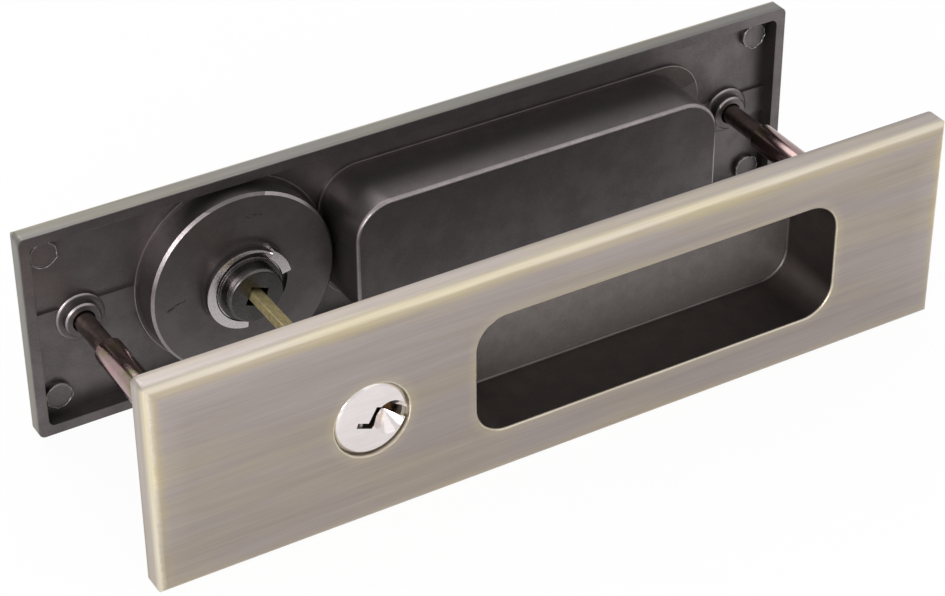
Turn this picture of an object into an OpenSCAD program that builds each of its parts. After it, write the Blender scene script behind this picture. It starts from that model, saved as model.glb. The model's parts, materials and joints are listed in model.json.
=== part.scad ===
// Pocket door lock trim: an outer plate with a key cylinder, an inner plate with a flush thumb turn,
// a tail bar between them and two bolts that clamp both plates on the door.
// X runs along the plates, Y through the door from outside to inside, Z up.

/* [Plates] */
// Length of each plate
plate_l = 160; // [150:1:190]
// Height of each plate
plate_h = 42; // [40:0.5:52]
// Thickness of each plate from face to rim
plate_t = 5; // [4.8:0.1:6.5]
// Radius along the edges of the face
edge_r = 2.2; // [0.5:0.1:2.5]
// Radius of the plate's corners
corner_r = 1.2; // [0.5:0.1:2]
// Depth of the tray cast into the back
tray_d = 3.6; // [3.2:0.1:3.8]
// Width of the rim round the tray
rim_w = 2.1; // [1.5:0.1:3]
// Radius in the corners of the tray
tray_r = 1.2; // [0.5:0.1:3]
// Thickness of the door between the plates
door_t = 45; // [40:0.5:60]

/* [Finger pull] */
// Distance from the middle of the plate to the middle of the pull
pull_x = 18.4; // [17:0.1:22]
// Length of the opening
pull_l = 75.2; // [60:0.1:78]
// Height of the opening
pull_h = 23.7; // [20:0.1:27]
// Corner radius of the opening
pull_r = 6; // [3:0.5:9]
// Depth of the recess below the face
pull_d = 14; // [9:0.1:15]
// Radius round the floor of the recess
pull_foot = 0.6; // [0.3:0.1:1.2]
// Wall of the cup
pull_wall = 1.4; // [1:0.1:2]
// Radius round the back of the cup
pull_round = 0.8; // [0.4:0.1:1.3]
// Height of the casting step round the foot of the cup and of the well
step_t = 0.8; // [0.4:0.1:1.5]
// Margin of that step
step_margin = 0.9; // [0.5:0.1:2]
// Further reach of the step towards the far screw boss
step_reach = 3.7; // [1:0.1:4]

/* [Screw bosses and casting marks] */
// Distance from each end of the plate to its bolt
bolt_end = 11; // [10:0.5:13]
// Radius of the collar at the foot of a boss
collar_r = 4.7; // [4.2:0.1:5.5]
// Height of the collar above the tray floor
collar_t = 1; // [0.5:0.1:1.5]
// Radius of the boss tube
tube_r = 3.5; // [3.1:0.1:4]
// Depth of the tube's end below the rim
tube_low = 1.2; // [0.4:0.1:1.6]
// Bevel round the ends of collar and tube
boss_bevel = 0.3; // [0.1:0.1:0.5]
// Radius of the bolt hole
bolt_hole_r = 2.2; // [2.1:0.05:2.4]
// Radius of the round ejector marks
pad_r = 2.5; // [1.5:0.1:3]
// Height of the ejector marks
pad_t = 1; // [0.4:0.1:1.5]
// Distance from a mark to the plate's end
pad_end = 5.4; // [5:0.1:7]
// Distance from a mark to the plate's long edge
pad_edge = 6; // [5:0.1:7]
// Width of the flat rib along the middle
rib_w = 5.6; // [3:0.1:7]
// Height of the flat rib
rib_t = 0.6; // [0.3:0.1:1]

/* [Lock axis] */
// Distance from the plate's end to the lock axis
axis_end = 40.5; // [38:0.5:41]
// Angle at which the key slot stands
home_angle = 21; // [0:1:45]
// Angle through which key and turn move
throw_angle = 90; // [60:5:90]

/* [Thumb turn] */
// Radius of the well in the inner plate
well_r = 16; // [14:0.5:16]
// Depth of the well
well_d = 5.4; // [4.5:0.1:6.5]
// Wall round and behind the well
well_wall = 2.2; // [1.2:0.1:2.6]
// Bevel round the back of the well
well_bevel = 0.5; // [0.3:0.1:1.2]
// Radius of the collar round the hub
neck_r = 8.7; // [8.5:0.1:10]
// Height of the collar
neck_t = 1; // [0.8:0.1:3]
// Gap round the turn's disc
turn_gap = 0.5; // [0.3:0.1:1]
// Thickness of the turn's disc
disc_t = 1.3; // [1:0.1:2]
// Width of the grip in its waist
grip_w = 5.4; // [4:0.1:6]
// Width of the grip at its ends
grip_end_w = 7.2; // [6.2:0.1:9]
// Distance from the ends of the grip to the edge of the disc
grip_margin = 1; // [0.5:0.1:3]
// Radius along the edges of the grip
grip_round = 1; // [0.4:0.1:1.5]
// Depth of the grip's top below the face
grip_low = 0.2; // [0:0.1:1]

/* [Hub] */
// Radius of the hub in its bore
hub_r = 6.4; // [6.2:0.1:6.6]
// Radius of the hub's end
hub_end_r = 5.4; // [4.7:0.1:5.6]
// Reach of the hub beyond the retaining ring
hub_reach = 3; // [2.5:0.1:5]
// Square hole for the tail bar
hub_square = 3.6; // [3.4:0.1:5.4]
// Radius of the retaining ring
ring_r = 8.3; // [7.8:0.1:8.4]
// Thickness of the retaining ring
ring_t = 1; // [0.8:0.1:1.2]
// Height of the lug on the retaining ring
lug_t = 0.4; // [0.2:0.1:0.8]

/* [Key cylinder] */
// Wall of the housing outside the wafer grooves
housing_wall = 1.65; // [1.5:0.05:2.4]
// Length of the housing
housing_l = 17; // [16.5:0.1:20]
// Radius of the plug
plug_r = 6.4; // [6.2:0.1:6.5]
// Radius of the plug's head
head_r = 6.9; // [6.8:0.1:7.4]
// Thickness of the plug's head
head_t = 1; // [0.8:0.1:1]
// Depth of the plug's head below the face
head_low = 0.3; // [0:0.1:0.5]
// Gap round the plug's head
head_gap = 0.3; // [0.2:0.05:0.5]
// Radius of the dimple in the head
dimple_r = 3.3; // [2:0.1:3.5]
// Wall of the boss that holds the housing
boss_wall = 2.4; // [1.5:0.1:4]
// Reach of that boss behind the rim
boss_reach = 6; // [4:0.1:8]

/* [Wafers] */
// Distance between wafers
wafer_pitch = 2.4; // [2.3:0.05:2.6]
// Thickness of a wafer
wafer_t = 0.9; // [0.7:0.05:1]
// Height of a wafer across its travel
wafer_w = 6.6; // [6.2:0.1:6.8]
// Travel of a wafer each way
wafer_travel = 0.7; // [0.4:0.1:0.8]
// Distance from the front of the housing to the middle of the first wafer
first_wafer = 2.65; // [2.5:0.05:2.8]
// Radius of a wafer's coil spring
spring_r = 0.45; // [0.3:0.01:0.5]
// Radius of the spring's wire
wire_r = 0.1; // [0.06:0.01:0.12]
// Length of the spring
spring_l = 3.6; // [3:0.1:4]

/* [Stop, clip and pin] */
// Wall of the crown at the back of the housing
crown_wall = 1.3; // [1:0.1:1.6]
// Height of the crown
crown_h = 0.9; // [0.6:0.1:1.4]
// Width of the stop washer's tab
tab_w = 3; // [2:0.1:4]
// Thickness of the stop washer
washer_t = 0.85; // [0.6:0.05:1]
// Thickness of the plug's clip
clip_t = 0.8; // [0.6:0.1:1]
// Radius of the plug's clip
clip_r = 6.2; // [5.8:0.1:6.6]
// Radius of the plug's neck
plug_neck_r = 4.6; // [4.4:0.1:4.8]
// Distance between the flats of the neck
neck_flats = 7; // [6.6:0.1:7.4]
// Radius of the pin through the tail bar
pin_r = 0.75; // [0.5:0.05:0.8]

/* [Tail bar, bolts and sleeves] */
// Width of the tail bar
tail_w = 2.8; // [2:0.1:3.2]
// Thickness of the tail bar
tail_t = 1.6; // [1.2:0.1:2.4]
// Depth of the tail bar in the hub
tail_in_hub = 3.4; // [2:0.1:3.6]
// Radius of the bolts
bolt_r = 1.9; // [1.7:0.05:2]
// Radius of a bolt head
head_bolt_r = 3.9; // [3.4:0.1:4.2]
// Radius of the threaded sleeves
sleeve_r = 2.7; // [2.5:0.1:3]
// Bevel round the open end of a sleeve
sleeve_bevel = 0.3; // [0.1:0.05:0.4]
// Distance from the sleeve's end to the inner plate
sleeve_gap = 9; // [7:0.5:12]
// Length of bolt inside the sleeve
bolt_grip = 18; // [10:1:22]

/* [Hidden] */

// Clearances, and sizes that every cut uses
run = 0.05;     // running fit, on the radius
seat = 0.05;    // faces that meet
room = 0.1;     // room in a pocket
bite = 0.6;     // how far added metal is sunk into the wall that carries it
past = 1;       // how far a cutter runs past a face
fine = 96;      // segments of a large circle
small = 48;     // segments of a small circle

// Places
mid_z = plate_h / 2;
axis_x = axis_end - plate_l / 2;
bolt_x = plate_l / 2 - bolt_end;
rim_y = door_t / 2;
face_y = rim_y + plate_t;

// Depths are counted from a plate's rim, towards its face
well_floor = plate_t - well_d;
well_back = well_floor - well_wall;
neck_end = well_back - neck_t;
cup_back = plate_t - pull_d - pull_wall;
boss_end = -boss_reach;
housing_front = tray_d - seat;
housing_back = housing_front - housing_l;

// Hub, along Y, and the square by which the turn is pressed into it
hub_lift = 0.15;        // hub above the floor of the well, so that the disc doesn't rub
hub_groove = 0.7;       // depth of the ring's groove
hub_shoulder = 0.7;     // shoulder between the groove and the hub's end
hub_relief = 0.2;       // shoulder below the hub's radius
hub_bevel = 0.4;
spigot_w = 6;
spigot_l = 3;
spigot_fit = 0.02;
hub_front_y = rim_y + well_floor + hub_lift;
ring_front_y = rim_y + neck_end - seat;
ring_back_y = ring_front_y - ring_t;
hub_end_y = ring_back_y - hub_reach;
hub_groove_r = hub_r - hub_groove;

// Retaining ring: its outside is shifted away from its gap and its dished middle towards it,
// so that the raised rim is a crescent, thickest opposite the gap
ring_shift_x = -0.34;
ring_shift_z = -0.12;
ring_inset = 0.3;
dish_r = 7;
dish_x = 0.42;
dish_z = 0.15;
dish_d = 0.5;
ring_open_from = -95;
ring_open_to = 12;
lug_to = 52;
pocket_from = -35;
pocket_to = 8;
pocket_d = 1;
pocket_rim = 0.6;       // collar left outside the pocket

// Grip and disc of the turn
disc_bevel = 0.4;

// Plug, along Y from the outer face inwards
head_face_y = -face_y + head_low;
head_bevel = 0.5;
head_bevel_d = 0.35;
plug_back_y = -rim_y - housing_back + seat;
clip_groove_r = plug_neck_r - 1;
washer_y = plug_back_y + seat;
clip_y = washer_y + washer_t + seat;
neck_behind_clip = 2.7;
plug_end_y = clip_y + clip_t + neck_behind_clip;
pin_y = plug_end_y - neck_behind_clip / 2;
tail_in_plug = 1.5;     // how far the bar's slot runs on into the plug
tail_start_y = plug_back_y - tail_in_plug;
tail_end_y = hub_end_y + tail_in_hub;
tail_corner = 0.2;

// Key slot, level: a low arm at the left, a slanted step and a high arm out to the rim
arm_left = 2.4;
low_arm_z = -1.9;
low_arm_h = 1;
high_arm_z = 0.25;
high_arm_h = 2.05;
step_top_x = 0.2;
step_foot_x = -0.3;
step_w = 0.9;
step_lean = 0.4;
dimple_edge = 0.2;      // dimple beyond the rim of the head
dimple_z = 0.4;

// Wafers: how far each window is moved, which is the cut of the key at that place
wafers = 5;
cuts = [0.5, -0.7, 0, 0.7, -0.3];
window_left = 2.6;
window_right = 3.6;
window_low = 2.1;
window_high = 2.5;
wafer_half = wafer_w / 2;
first_wafer_y = -rim_y - housing_front + first_wafer;
last_wafer_y = first_wafer_y + (wafers - 1) * wafer_pitch;
blade_behind = 1.2;     // key slot behind the last wafer
groove_over = 0.25;     // groove beyond the wafer's travel
groove_r = plug_r + wafer_travel + groove_over;
housing_r = groove_r + housing_wall;
groove_side = 0.2;
groove_end = wafer_t + 0.4;
ear_x = 0.3;
ear_w = 1;
ear_h = spring_r + 0.65;
spring_z = wafer_half + ear_h - spring_r;
spring_turns = 5;

// Crown and tab that stop the plug
crown_r = housing_r - crown_wall;
crown_gap = 0.3;        // round the washer, inside the crown
tab_low = 0.2;          // tab inside the outside of the housing
tab_room = 1.5;         // degrees on each side of the tab at the ends of its way
tab_angle = asin(tab_w / 2 / crown_r) + tab_room;

// Housing: its circlip and the lug that keeps it from turning
circlip_t = 1;
circlip_groove = 0.8;
circlip_over = 1.6;
circlip_open = 60;
circlip_y = -rim_y - boss_end + seat;
lug_w = 2.5;
lug_h = 1.3;
lug_short = 2;          // lug ends before the end of the boss

// Bolts
recess_w = 0.9;
recess_l = 4.4;
recess_d = 1.2;
bolt_low = 0.1;         // head below the face
bolt_spare = 4;         // bore of the sleeve beyond the bolt's end

/* Drawing helpers */

// A flat shape in X and Z, drawn out from y0 to y1
module slab(y0, y1) {
    translate([0, y1, 0]) rotate([90, 0, 0]) linear_extrude(y1 - y0) children();
}

// A round bar along Y
module rod(r, y0, y1, fn = small) {
    slab(y0, y1) circle(r, $fn = fn);
}

// A shape turned about Y from points of radius and depth
module turned(points, fn = fine) {
    rotate([-90, 0, 0]) rotate_extrude($fn = fn) polygon(points);
}

// What is left of a square corner outside a round one
module corner_bit(sx, sy, r) {
    difference() {
        translate([sx > 0 ? 0 : -r - past, sy > 0 ? 0 : -r - past]) square(r + past);
        circle(r, $fn = small);
    }
}

module rounded_rect(l, h, r) {
    difference() {
        square([l, h], center = true);
        for (sx = [-1, 1], sy = [-1, 1])
            translate([sx * (l / 2 - r), sy * (h / 2 - r)]) corner_bit(sx, sy, r);
    }
}

// Section of a plate: square at the foot, rounded at the top corners
module edge_profile(l, t, r) {
    difference() {
        translate([-l / 2, 0]) square([l, t]);
        for (s = [-1, 1])
            translate([s * (l / 2 - r), t - r]) corner_bit(s, 1, r);
    }
}

// A block from depth 0 to t whose far edges are rounded in both directions
module rounded_block(l, h, t, r) {
    intersection() {
        translate([0, 0, -h]) linear_extrude(2 * h) edge_profile(l, t, r);
        translate([-l, 0, 0]) rotate([90, 0, 90]) linear_extrude(2 * l) rotate(90) mirror([0, 1]) edge_profile(h, t, r);
    }
}

// A block from depth 0 to t with round corners, whose far edge is rounded all the way round
module cushion(l, h, t, corner, r) {
    for (sx = [-1, 1], sz = [-1, 1])
        translate([sx * (l / 2 - corner), 0, sz * (h / 2 - corner)])
            rotate([-90, 0, 0]) rotate_extrude($fn = fine)
                intersection() {
                    edge_profile(2 * corner, t, r);
                    square([corner, t]);
                }
    translate([0, 0, corner - h / 2]) linear_extrude(h - 2 * corner) edge_profile(l, t, r);
    translate([corner - l / 2, 0, 0])
        rotate([90, 0, 90]) linear_extrude(l - 2 * corner) rotate(90) mirror([0, 1]) edge_profile(h, t, r);
}

// A wedge in X and Z between two angles from X, used to cut sectors
module wedge(a0, a1, r) {
    n = ceil((a1 - a0) / 30);
    polygon(concat([[0, 0]], [for (i = [0:n]) let(a = a0 + (a1 - a0) * i / n) r * [cos(a), sin(a)]]));
}

// A groove round a bar along Y
module groove(r_out, r_in, y0, t) {
    difference() {
        rod(r_out + past, y0 - seat / 2, y0 + t + seat / 2, fine);
        rod(r_in, y0 - past, y0 + t + past, fine);
    }
}

// Everything that turns is drawn with the key slot level and then set to its home angle
module on_axis() {
    translate([axis_x, 0, mid_z]) rotate([0, home_angle, 0]) children();
}

/* The two castings */

// Cup of the finger pull, seen from the back of the plate
module cup() {
    l = pull_l + 2 * pull_wall;
    h = pull_h + 2 * pull_wall;
    r = pull_r + pull_wall;
    top = tray_d + bite;
    translate([pull_x, 0, 0]) {
        translate([0, top, 0]) mirror([0, 1, 0]) cushion(l, h, top - cup_back, r, pull_round);
        translate([step_reach / 2, 0, 0])
            slab(tray_d - step_t, top)
                rounded_rect(l + 2 * step_margin + step_reach, h + 2 * step_margin, r + step_margin);
    }
}

module screw_boss() {
    collar_end = tray_d - collar_t;
    turned([[0, tray_d + bite], [collar_r, tray_d + bite], [collar_r, collar_end + boss_bevel],
        [collar_r - boss_bevel, collar_end], [tube_r, collar_end], [tube_r, tube_low + boss_bevel],
        [tube_r - boss_bevel, tube_low], [0, tube_low]], small);
}

// What both plates share, standing on its rim at depth 0 with its face at plate_t
module casting() {
    difference() {
        intersection() {
            rounded_block(plate_l, plate_h, plate_t, edge_r);
            slab(-past, plate_t + past) rounded_rect(plate_l, plate_h, corner_r);
        }
        slab(-past, tray_d) rounded_rect(plate_l - 2 * rim_w, plate_h - 2 * rim_w, tray_r);
    }
    slab(tray_d - rib_t, tray_d + bite)
        square([plate_l - rim_w, rib_w], center = true);
    for (sx = [-1, 1], sz = [-1, 1])
        translate([sx * (plate_l / 2 - pad_end), 0, sz * (plate_h / 2 - pad_edge)])
            rod(pad_r, tray_d - pad_t, tray_d + bite);
    for (s = [-1, 1])
        translate([s * bolt_x, 0, 0]) screw_boss();
    cup();
}

module pull_recess() {
    translate([pull_x, plate_t + past, 0])
        mirror([0, 1, 0]) cushion(pull_l, pull_h, pull_d + past, pull_r, pull_foot);
}

module outer_plate() {
    color("#9c9184")
        translate([0, 0, mid_z]) mirror([0, 1, 0]) translate([0, rim_y, 0])
            difference() {
                union() {
                    casting();
                    translate([axis_x, 0, 0])
                        rod(housing_r + boss_wall, boss_end, tray_d + bite, fine);
                }
                pull_recess();
                for (s = [-1, 1])
                    translate([s * bolt_x, 0, 0]) rod(bolt_hole_r, tube_low - past, tray_d);
                translate([axis_x, 0, 0]) {
                    rod(housing_r + run, boss_end - past, tray_d, fine);
                    rod(head_r + head_gap, 0, plate_t + past, fine);
                    housing_lug(boss_end - past, housing_front, run);
                }
            }
}

module inner_plate() {
    back_r = well_r + well_wall;
    color("#4a4647")
        translate([0, rim_y, mid_z])
            difference() {
                union() {
                    casting();
                    translate([axis_x, 0, 0]) {
                        rod(back_r + step_margin, tray_d - step_t, tray_d + bite, fine);
                        turned([[0, tray_d + bite], [back_r, tray_d + bite], [back_r, well_back + well_bevel],
                            [back_r - well_bevel, well_back], [neck_r, well_back], [neck_r, neck_end], [0, neck_end]]);
                    }
                }
                pull_recess();
                for (s = [-1, 1])
                    translate([s * bolt_x, 0, 0]) countersunk_hole();
                translate([axis_x, 0, 0]) {
                    rod(well_r, well_floor, plate_t + past, fine);
                    rod(hub_r + run, neck_end - past, well_floor + past, fine);
                    ring_pocket();
                }
            }
}

// Hole for a bolt and the cone for its head
module countersunk_hole() {
    mouth_r = head_bolt_r + run;
    rod(bolt_hole_r, tube_low - past, plate_t + past);
    turned([[0, plate_t + past], [mouth_r + past, plate_t + past],
        [mouth_r, plate_t], [bolt_r + run, plate_t - (head_bolt_r - bolt_r)], [0, plate_t - 2 * head_bolt_r]]);
}

// Short curved hollow in the collar, beside the open end of the retaining ring
module ring_pocket() {
    slab(neck_end - past, neck_end + pocket_d)
        intersection() {
            difference() {
                circle(neck_r - pocket_rim, $fn = small);
                circle(hub_r, $fn = small);
            }
            wedge(pocket_from, pocket_to, 2 * neck_r);
        }
}

/* Key cylinder, drawn level */

// Lug below the housing, or with a gap its slot in the boss, along depths a to b
module housing_lug(a, b, gap) {
    rotate([0, home_angle, 0])
        translate([-lug_w / 2 - gap, a, -housing_r - lug_h - gap])
            cube([lug_w + 2 * gap, b - a, 2 * lug_h + 2 * gap]);
}

module cylinder_housing() {
    front = -rim_y - housing_front;
    back = -rim_y - housing_back;
    color("#b9b6ad")
        on_axis()
            difference() {
                union() {
                    rod(housing_r, front, back, fine);
                    rotate([0, -home_angle, 0]) translate([0, -rim_y, 0]) mirror([0, 1, 0])
                        housing_lug(boss_end + lug_short, housing_front, 0);
                    difference() {
                        rod(housing_r, back - bite, back + crown_h, fine);
                        rod(crown_r, back - past, back + crown_h + past, fine);
                        slab(back, back + crown_h + past)
                            wedge(90 - throw_angle - tab_angle, 90 + tab_angle, 2 * housing_r);
                    }
                }
                rod(plug_r + run, front - past, back + past, fine);
                for (a = [0, 90])
                    rotate([0, a, 0]) wafer_groove();
                groove(housing_r, housing_r - circlip_groove, circlip_y, circlip_t);
            }
}

// Groove on both sides of the bore that takes the ends of the wafers when no key is in
module wafer_groove() {
    w = wafer_w + 2 * groove_side;
    translate([-groove_r, first_wafer_y - groove_end, -w / 2])
        cube([2 * groove_r, last_wafer_y - first_wafer_y + 2 * groove_end, w]);
}

// Open ring that holds the housing against the back of its boss
module housing_circlip() {
    color("#77787a")
        on_axis()
            slab(circlip_y, circlip_y + circlip_t)
                difference() {
                    circle(housing_r + circlip_over, $fn = fine);
                    circle(housing_r - circlip_groove + run, $fn = fine);
                    wedge(90 - circlip_open / 2, 90 + circlip_open / 2, 2 * housing_r);
                }
}

module key_section() {
    rim = head_r + past;
    polygon([[-arm_left, low_arm_z], [step_foot_x + step_w, low_arm_z],
        [step_top_x + step_w + step_lean, high_arm_z], [rim, high_arm_z], [rim, high_arm_z + high_arm_h],
        [step_top_x, high_arm_z + high_arm_h], [step_foot_x, low_arm_z + low_arm_h],
        [-arm_left, low_arm_z + low_arm_h]]);
}

module key_plug() {
    color("#d8d6d2")
        on_axis()
            difference() {
                union() {
                    turned([[0, head_face_y], [head_r - head_bevel, head_face_y],
                        [head_r, head_face_y + head_bevel_d], [head_r, head_face_y + head_t],
                        [plug_r, head_face_y + head_t], [plug_r, plug_back_y], [0, plug_back_y]]);
                    slab(plug_back_y - bite, plug_end_y) neck_section(0);
                }
                slab(head_face_y - past, last_wafer_y + blade_behind) key_section();
                translate([head_r - dimple_r + dimple_edge, 0, dimple_z])
                    turned([[0, head_face_y - past], [dimple_r + past, head_face_y - past], [0, head_face_y + dimple_r]]);
                for (i = [0:wafers - 1])
                    translate([0, first_wafer_y + i * wafer_pitch, 0]) wafer_slot();
                groove(plug_neck_r, clip_groove_r, clip_y, clip_t);
                slab(tail_start_y - seat, plug_end_y + past)
                    square([tail_w + 2 * run, tail_t + 2 * run], center = true);
                translate([0, pin_y, -plug_neck_r]) cylinder(r = pin_r + run / 2, h = 2 * plug_neck_r, $fn = small);
            }
}

// Section of the plug's neck: round, with two flats
module neck_section(gap) {
    intersection() {
        circle(plug_neck_r + gap, $fn = small);
        square([4 * plug_neck_r, neck_flats + 2 * gap], center = true);
    }
}

// Slot through the plug for one wafer, with a pocket for its ear and spring
module wafer_slot() {
    t = wafer_t + 2 * seat;
    pocket = 2 * spring_r + 2 * room;
    left = ear_x - spring_l - room;
    right = ear_x + ear_w + wafer_travel + room;
    foot = wafer_half - past;
    translate([-2 * plug_r, -t / 2, -wafer_half - run])
        cube([4 * plug_r, t, wafer_w + 2 * run]);
    translate([left, -pocket / 2, foot])
        cube([right - left, pocket, wafer_half + ear_h + room - foot]);
}

// Wafer i, its ends flush with the plug as when its key is in
module wafer(i) {
    cut = cuts[i - 1];
    y0 = first_wafer_y + (i - 1) * wafer_pitch - wafer_t / 2;
    color("#c2a45a")
        on_axis()
            slab(y0, y0 + wafer_t) {
                difference() {
                    intersection() {
                        circle(plug_r - run, $fn = small);
                        square([4 * plug_r, wafer_w], center = true);
                    }
                    translate([cut - window_left, -window_low])
                        square([window_left + window_right, window_low + window_high]);
                }
                translate([ear_x, wafer_half - bite])
                    square([ear_w, ear_h + bite]);
            }
}

// Coil spring along X that pushes on the wafer's ear
module wafer_spring(i) {
    steps = 9;
    sides = 6;
    n = spring_turns * steps;
    pitch_l = spring_l - 2 * wire_r - room;
    mid_r = spring_r - wire_r;
    function ring(k) = let(a = 360 * k / steps, x = pitch_l * k / n)
        [for (j = [0:sides - 1]) let(b = 360 * j / sides, r = mid_r + wire_r * cos(b))
            [x + wire_r * sin(b), r * cos(a), r * sin(a)]];
    points = [for (k = [0:n]) each ring(k)];
    side_faces = [for (k = [0:n - 1], j = [0:sides - 1]) let(m = (j + 1) % sides)
        [k * sides + j, k * sides + m, (k + 1) * sides + m, (k + 1) * sides + j]];
    caps = [[for (j = [sides - 1:-1:0]) j], [for (j = [0:sides - 1]) n * sides + j]];
    color("#a9abad")
        on_axis()
            translate([ear_x - spring_l + wire_r, first_wafer_y + (i - 1) * wafer_pitch, spring_z])
                polyhedron(points, concat(side_faces, caps));
}

// Washer keyed to the plug, whose tab runs between the ends of the crown
module stop_washer() {
    disc_r = crown_r - crown_gap;
    color("#8d8f90")
        on_axis()
            slab(washer_y, washer_y + washer_t)
                difference() {
                    union() {
                        circle(disc_r, $fn = small);
                        translate([-tab_w / 2, 0]) square([tab_w, housing_r - tab_low]);
                    }
                    neck_section(run);
                }
}

// Spring clip pushed over the neck from the side, with a waist that snaps round it
module plug_clip() {
    mouth_w = 2 * clip_groove_r - 0.8;
    relief_x = clip_groove_r + 1.4;
    relief_z = 2.4;
    color("#6f7072")
        on_axis()
            slab(clip_y, clip_y + clip_t)
                difference() {
                    circle(clip_r, $fn = small);
                    circle(clip_groove_r + run, $fn = small);
                    translate([-mouth_w / 2, -clip_r - past]) square([mouth_w, clip_r + past]);
                    for (s = [-1, 1])
                        translate([s * relief_x, relief_z]) circle(1, $fn = small);
                }
}

module tail_pin() {
    l = neck_flats - 2 * room;
    color("#8d8f90")
        on_axis()
            translate([0, pin_y, -l / 2]) cylinder(r = pin_r, h = l, $fn = small);
}

/* Tail bar and thumb turn, drawn level */

module tail_bar() {
    color("#b79a4e")
        on_axis()
            difference() {
                slab(tail_start_y, tail_end_y) rounded_rect(tail_w, tail_t, tail_corner);
                translate([0, pin_y, -tail_t]) cylinder(r = pin_r + run / 2, h = 2 * tail_t, $fn = small);
            }
}

module turn_hub() {
    shoulder_r = hub_r - hub_relief;
    groove_front = ring_front_y + seat / 2;
    groove_back = ring_back_y - seat / 2;
    shoulder_y = ring_back_y - hub_shoulder;
    color("#1d1c1e")
        on_axis()
            difference() {
                turned([[0, hub_front_y], [hub_r, hub_front_y], [hub_r, groove_front],
                    [hub_groove_r, groove_front], [hub_groove_r, groove_back], [shoulder_r, groove_back],
                    [shoulder_r, shoulder_y], [hub_end_r, shoulder_y], [hub_end_r, hub_end_y + hub_bevel],
                    [hub_end_r - hub_bevel, hub_end_y], [0, hub_end_y]]);
                slab(hub_front_y - spigot_l - room, hub_front_y + past)
                    square(spigot_w + 2 * spigot_fit, center = true);
                slab(hub_end_y - past, tail_end_y + 3 * room)
                    square(hub_square, center = true);
            }
}

// Flush disc with a waisted grip across it and a square spigot pressed into the hub
module thumb_turn() {
    disc_r = well_r - turn_gap;
    disc_top = hub_front_y + disc_t;
    top_y = face_y - grip_low;
    grip_l = 2 * (disc_r - grip_margin);
    color("#9c9184")
        on_axis() {
            turned([[0, hub_front_y], [disc_r, hub_front_y], [disc_r, disc_top - disc_bevel],
                [disc_r - disc_bevel, disc_top], [0, disc_top]]);
            difference() {
                intersection() {
                    rod(grip_l / 2, disc_top - bite, top_y, fine);
                    translate([0, hub_front_y, 0])
                        rounded_block(grip_end_w, grip_l, top_y - hub_front_y, grip_round);
                }
                grip_hollows(disc_top, top_y + past, grip_l);
            }
            slab(hub_front_y - spigot_l, hub_front_y + bite) square(spigot_w, center = true);
        }
}

// Hollows beside the grip, as arcs through its ends and its waist
module grip_hollows(y0, y1, grip_l) {
    sag = (grip_end_w - grip_w) / 2;
    r = (grip_l * grip_l / 4 + sag * sag) / (2 * sag);
    for (s = [-1, 1])
        translate([s * (grip_w / 2 + r), 0, 0]) rod(r, y0, y1, fine);
}

// Open ring in the hub's groove: a raised crescent, a dished middle and one lug beside the gap
module retaining_ring() {
    color("#c9c8c6")
        translate([axis_x, 0, mid_z]) {
            difference() {
                slab(ring_back_y, ring_front_y)
                    difference() {
                        translate([ring_shift_x, ring_shift_z]) circle(ring_r - ring_inset, $fn = fine);
                        circle(hub_groove_r + run, $fn = fine);
                        wedge(ring_open_from, ring_open_to, 2 * ring_r);
                    }
                slab(ring_back_y - past, ring_back_y + dish_d)
                    difference() {
                        translate([dish_x, dish_z]) circle(dish_r, $fn = fine);
                        circle(hub_r, $fn = fine);
                    }
            }
            slab(ring_back_y - lug_t, ring_front_y)
                intersection() {
                    difference() {
                        circle(ring_r, $fn = fine);
                        circle(hub_r + room, $fn = fine);
                    }
                    wedge(ring_open_to - 2, lug_to, 2 * ring_r);
                }
        }
}

/* Fasteners */

// Threaded sleeve that stands in the outer plate's boss
module sleeve(x) {
    foot = -rim_y - tray_d + seat;
    shoulder = -rim_y - tube_low;
    end = rim_y - sleeve_gap;
    color("#a48f74")
        translate([x, 0, mid_z])
            difference() {
                turned([[0, foot], [bolt_hole_r - run, foot], [bolt_hole_r - run, shoulder], [sleeve_r, shoulder],
                    [sleeve_r, end - sleeve_bevel], [sleeve_r - sleeve_bevel, end], [0, end]], small);
                rod(bolt_r + run, end - bolt_grip - bolt_spare, end + past);
            }
}

// Countersunk bolt through the inner plate
module bolt(x) {
    top = face_y - bolt_low;
    foot = rim_y - sleeve_gap - bolt_grip;
    cone = head_bolt_r - bolt_r;
    color("#3d3530")
        translate([x, 0, mid_z])
            difference() {
                turned([[0, top], [head_bolt_r - bolt_low, top], [bolt_r, top - cone + bolt_low],
                    [bolt_r, foot], [0, foot]], small);
                for (a = [0, 90])
                    rotate([0, a, 0])
                        slab(top - recess_d, top + past) square([recess_w, recess_l], center = true);
            }
}

outer_plate();
inner_plate();
cylinder_housing();
housing_circlip();
key_plug();
wafer(1);  // wafer_1
wafer(2);  // wafer_2
wafer(3);  // wafer_3
wafer(4);  // wafer_4
wafer(5);  // wafer_5
wafer_spring(1);  // wafer_spring_1
wafer_spring(2);  // wafer_spring_2
wafer_spring(3);  // wafer_spring_3
wafer_spring(4);  // wafer_spring_4
wafer_spring(5);  // wafer_spring_5
stop_washer();
plug_clip();
tail_pin();
tail_bar();
turn_hub();
thumb_turn();
retaining_ring();
sleeve(-bolt_x);  // sleeve_left
sleeve(bolt_x);  // sleeve_right
bolt(-bolt_x);  // bolt_left
bolt(bolt_x);  // bolt_right
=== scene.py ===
"""Pocket door lock trim: two cast plates with finger pulls, a key cylinder, a thumb turn,
a tail bar between them and two bolts in sleeves. The CAD frame gives every place. This file
gives the worked edges, the finishes, the lamps and the camera."""

import json
import math

import bmesh
import bpy
from bpy.props import FloatProperty, FloatVectorProperty, PointerProperty
from mathutils import Matrix, Vector

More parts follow.
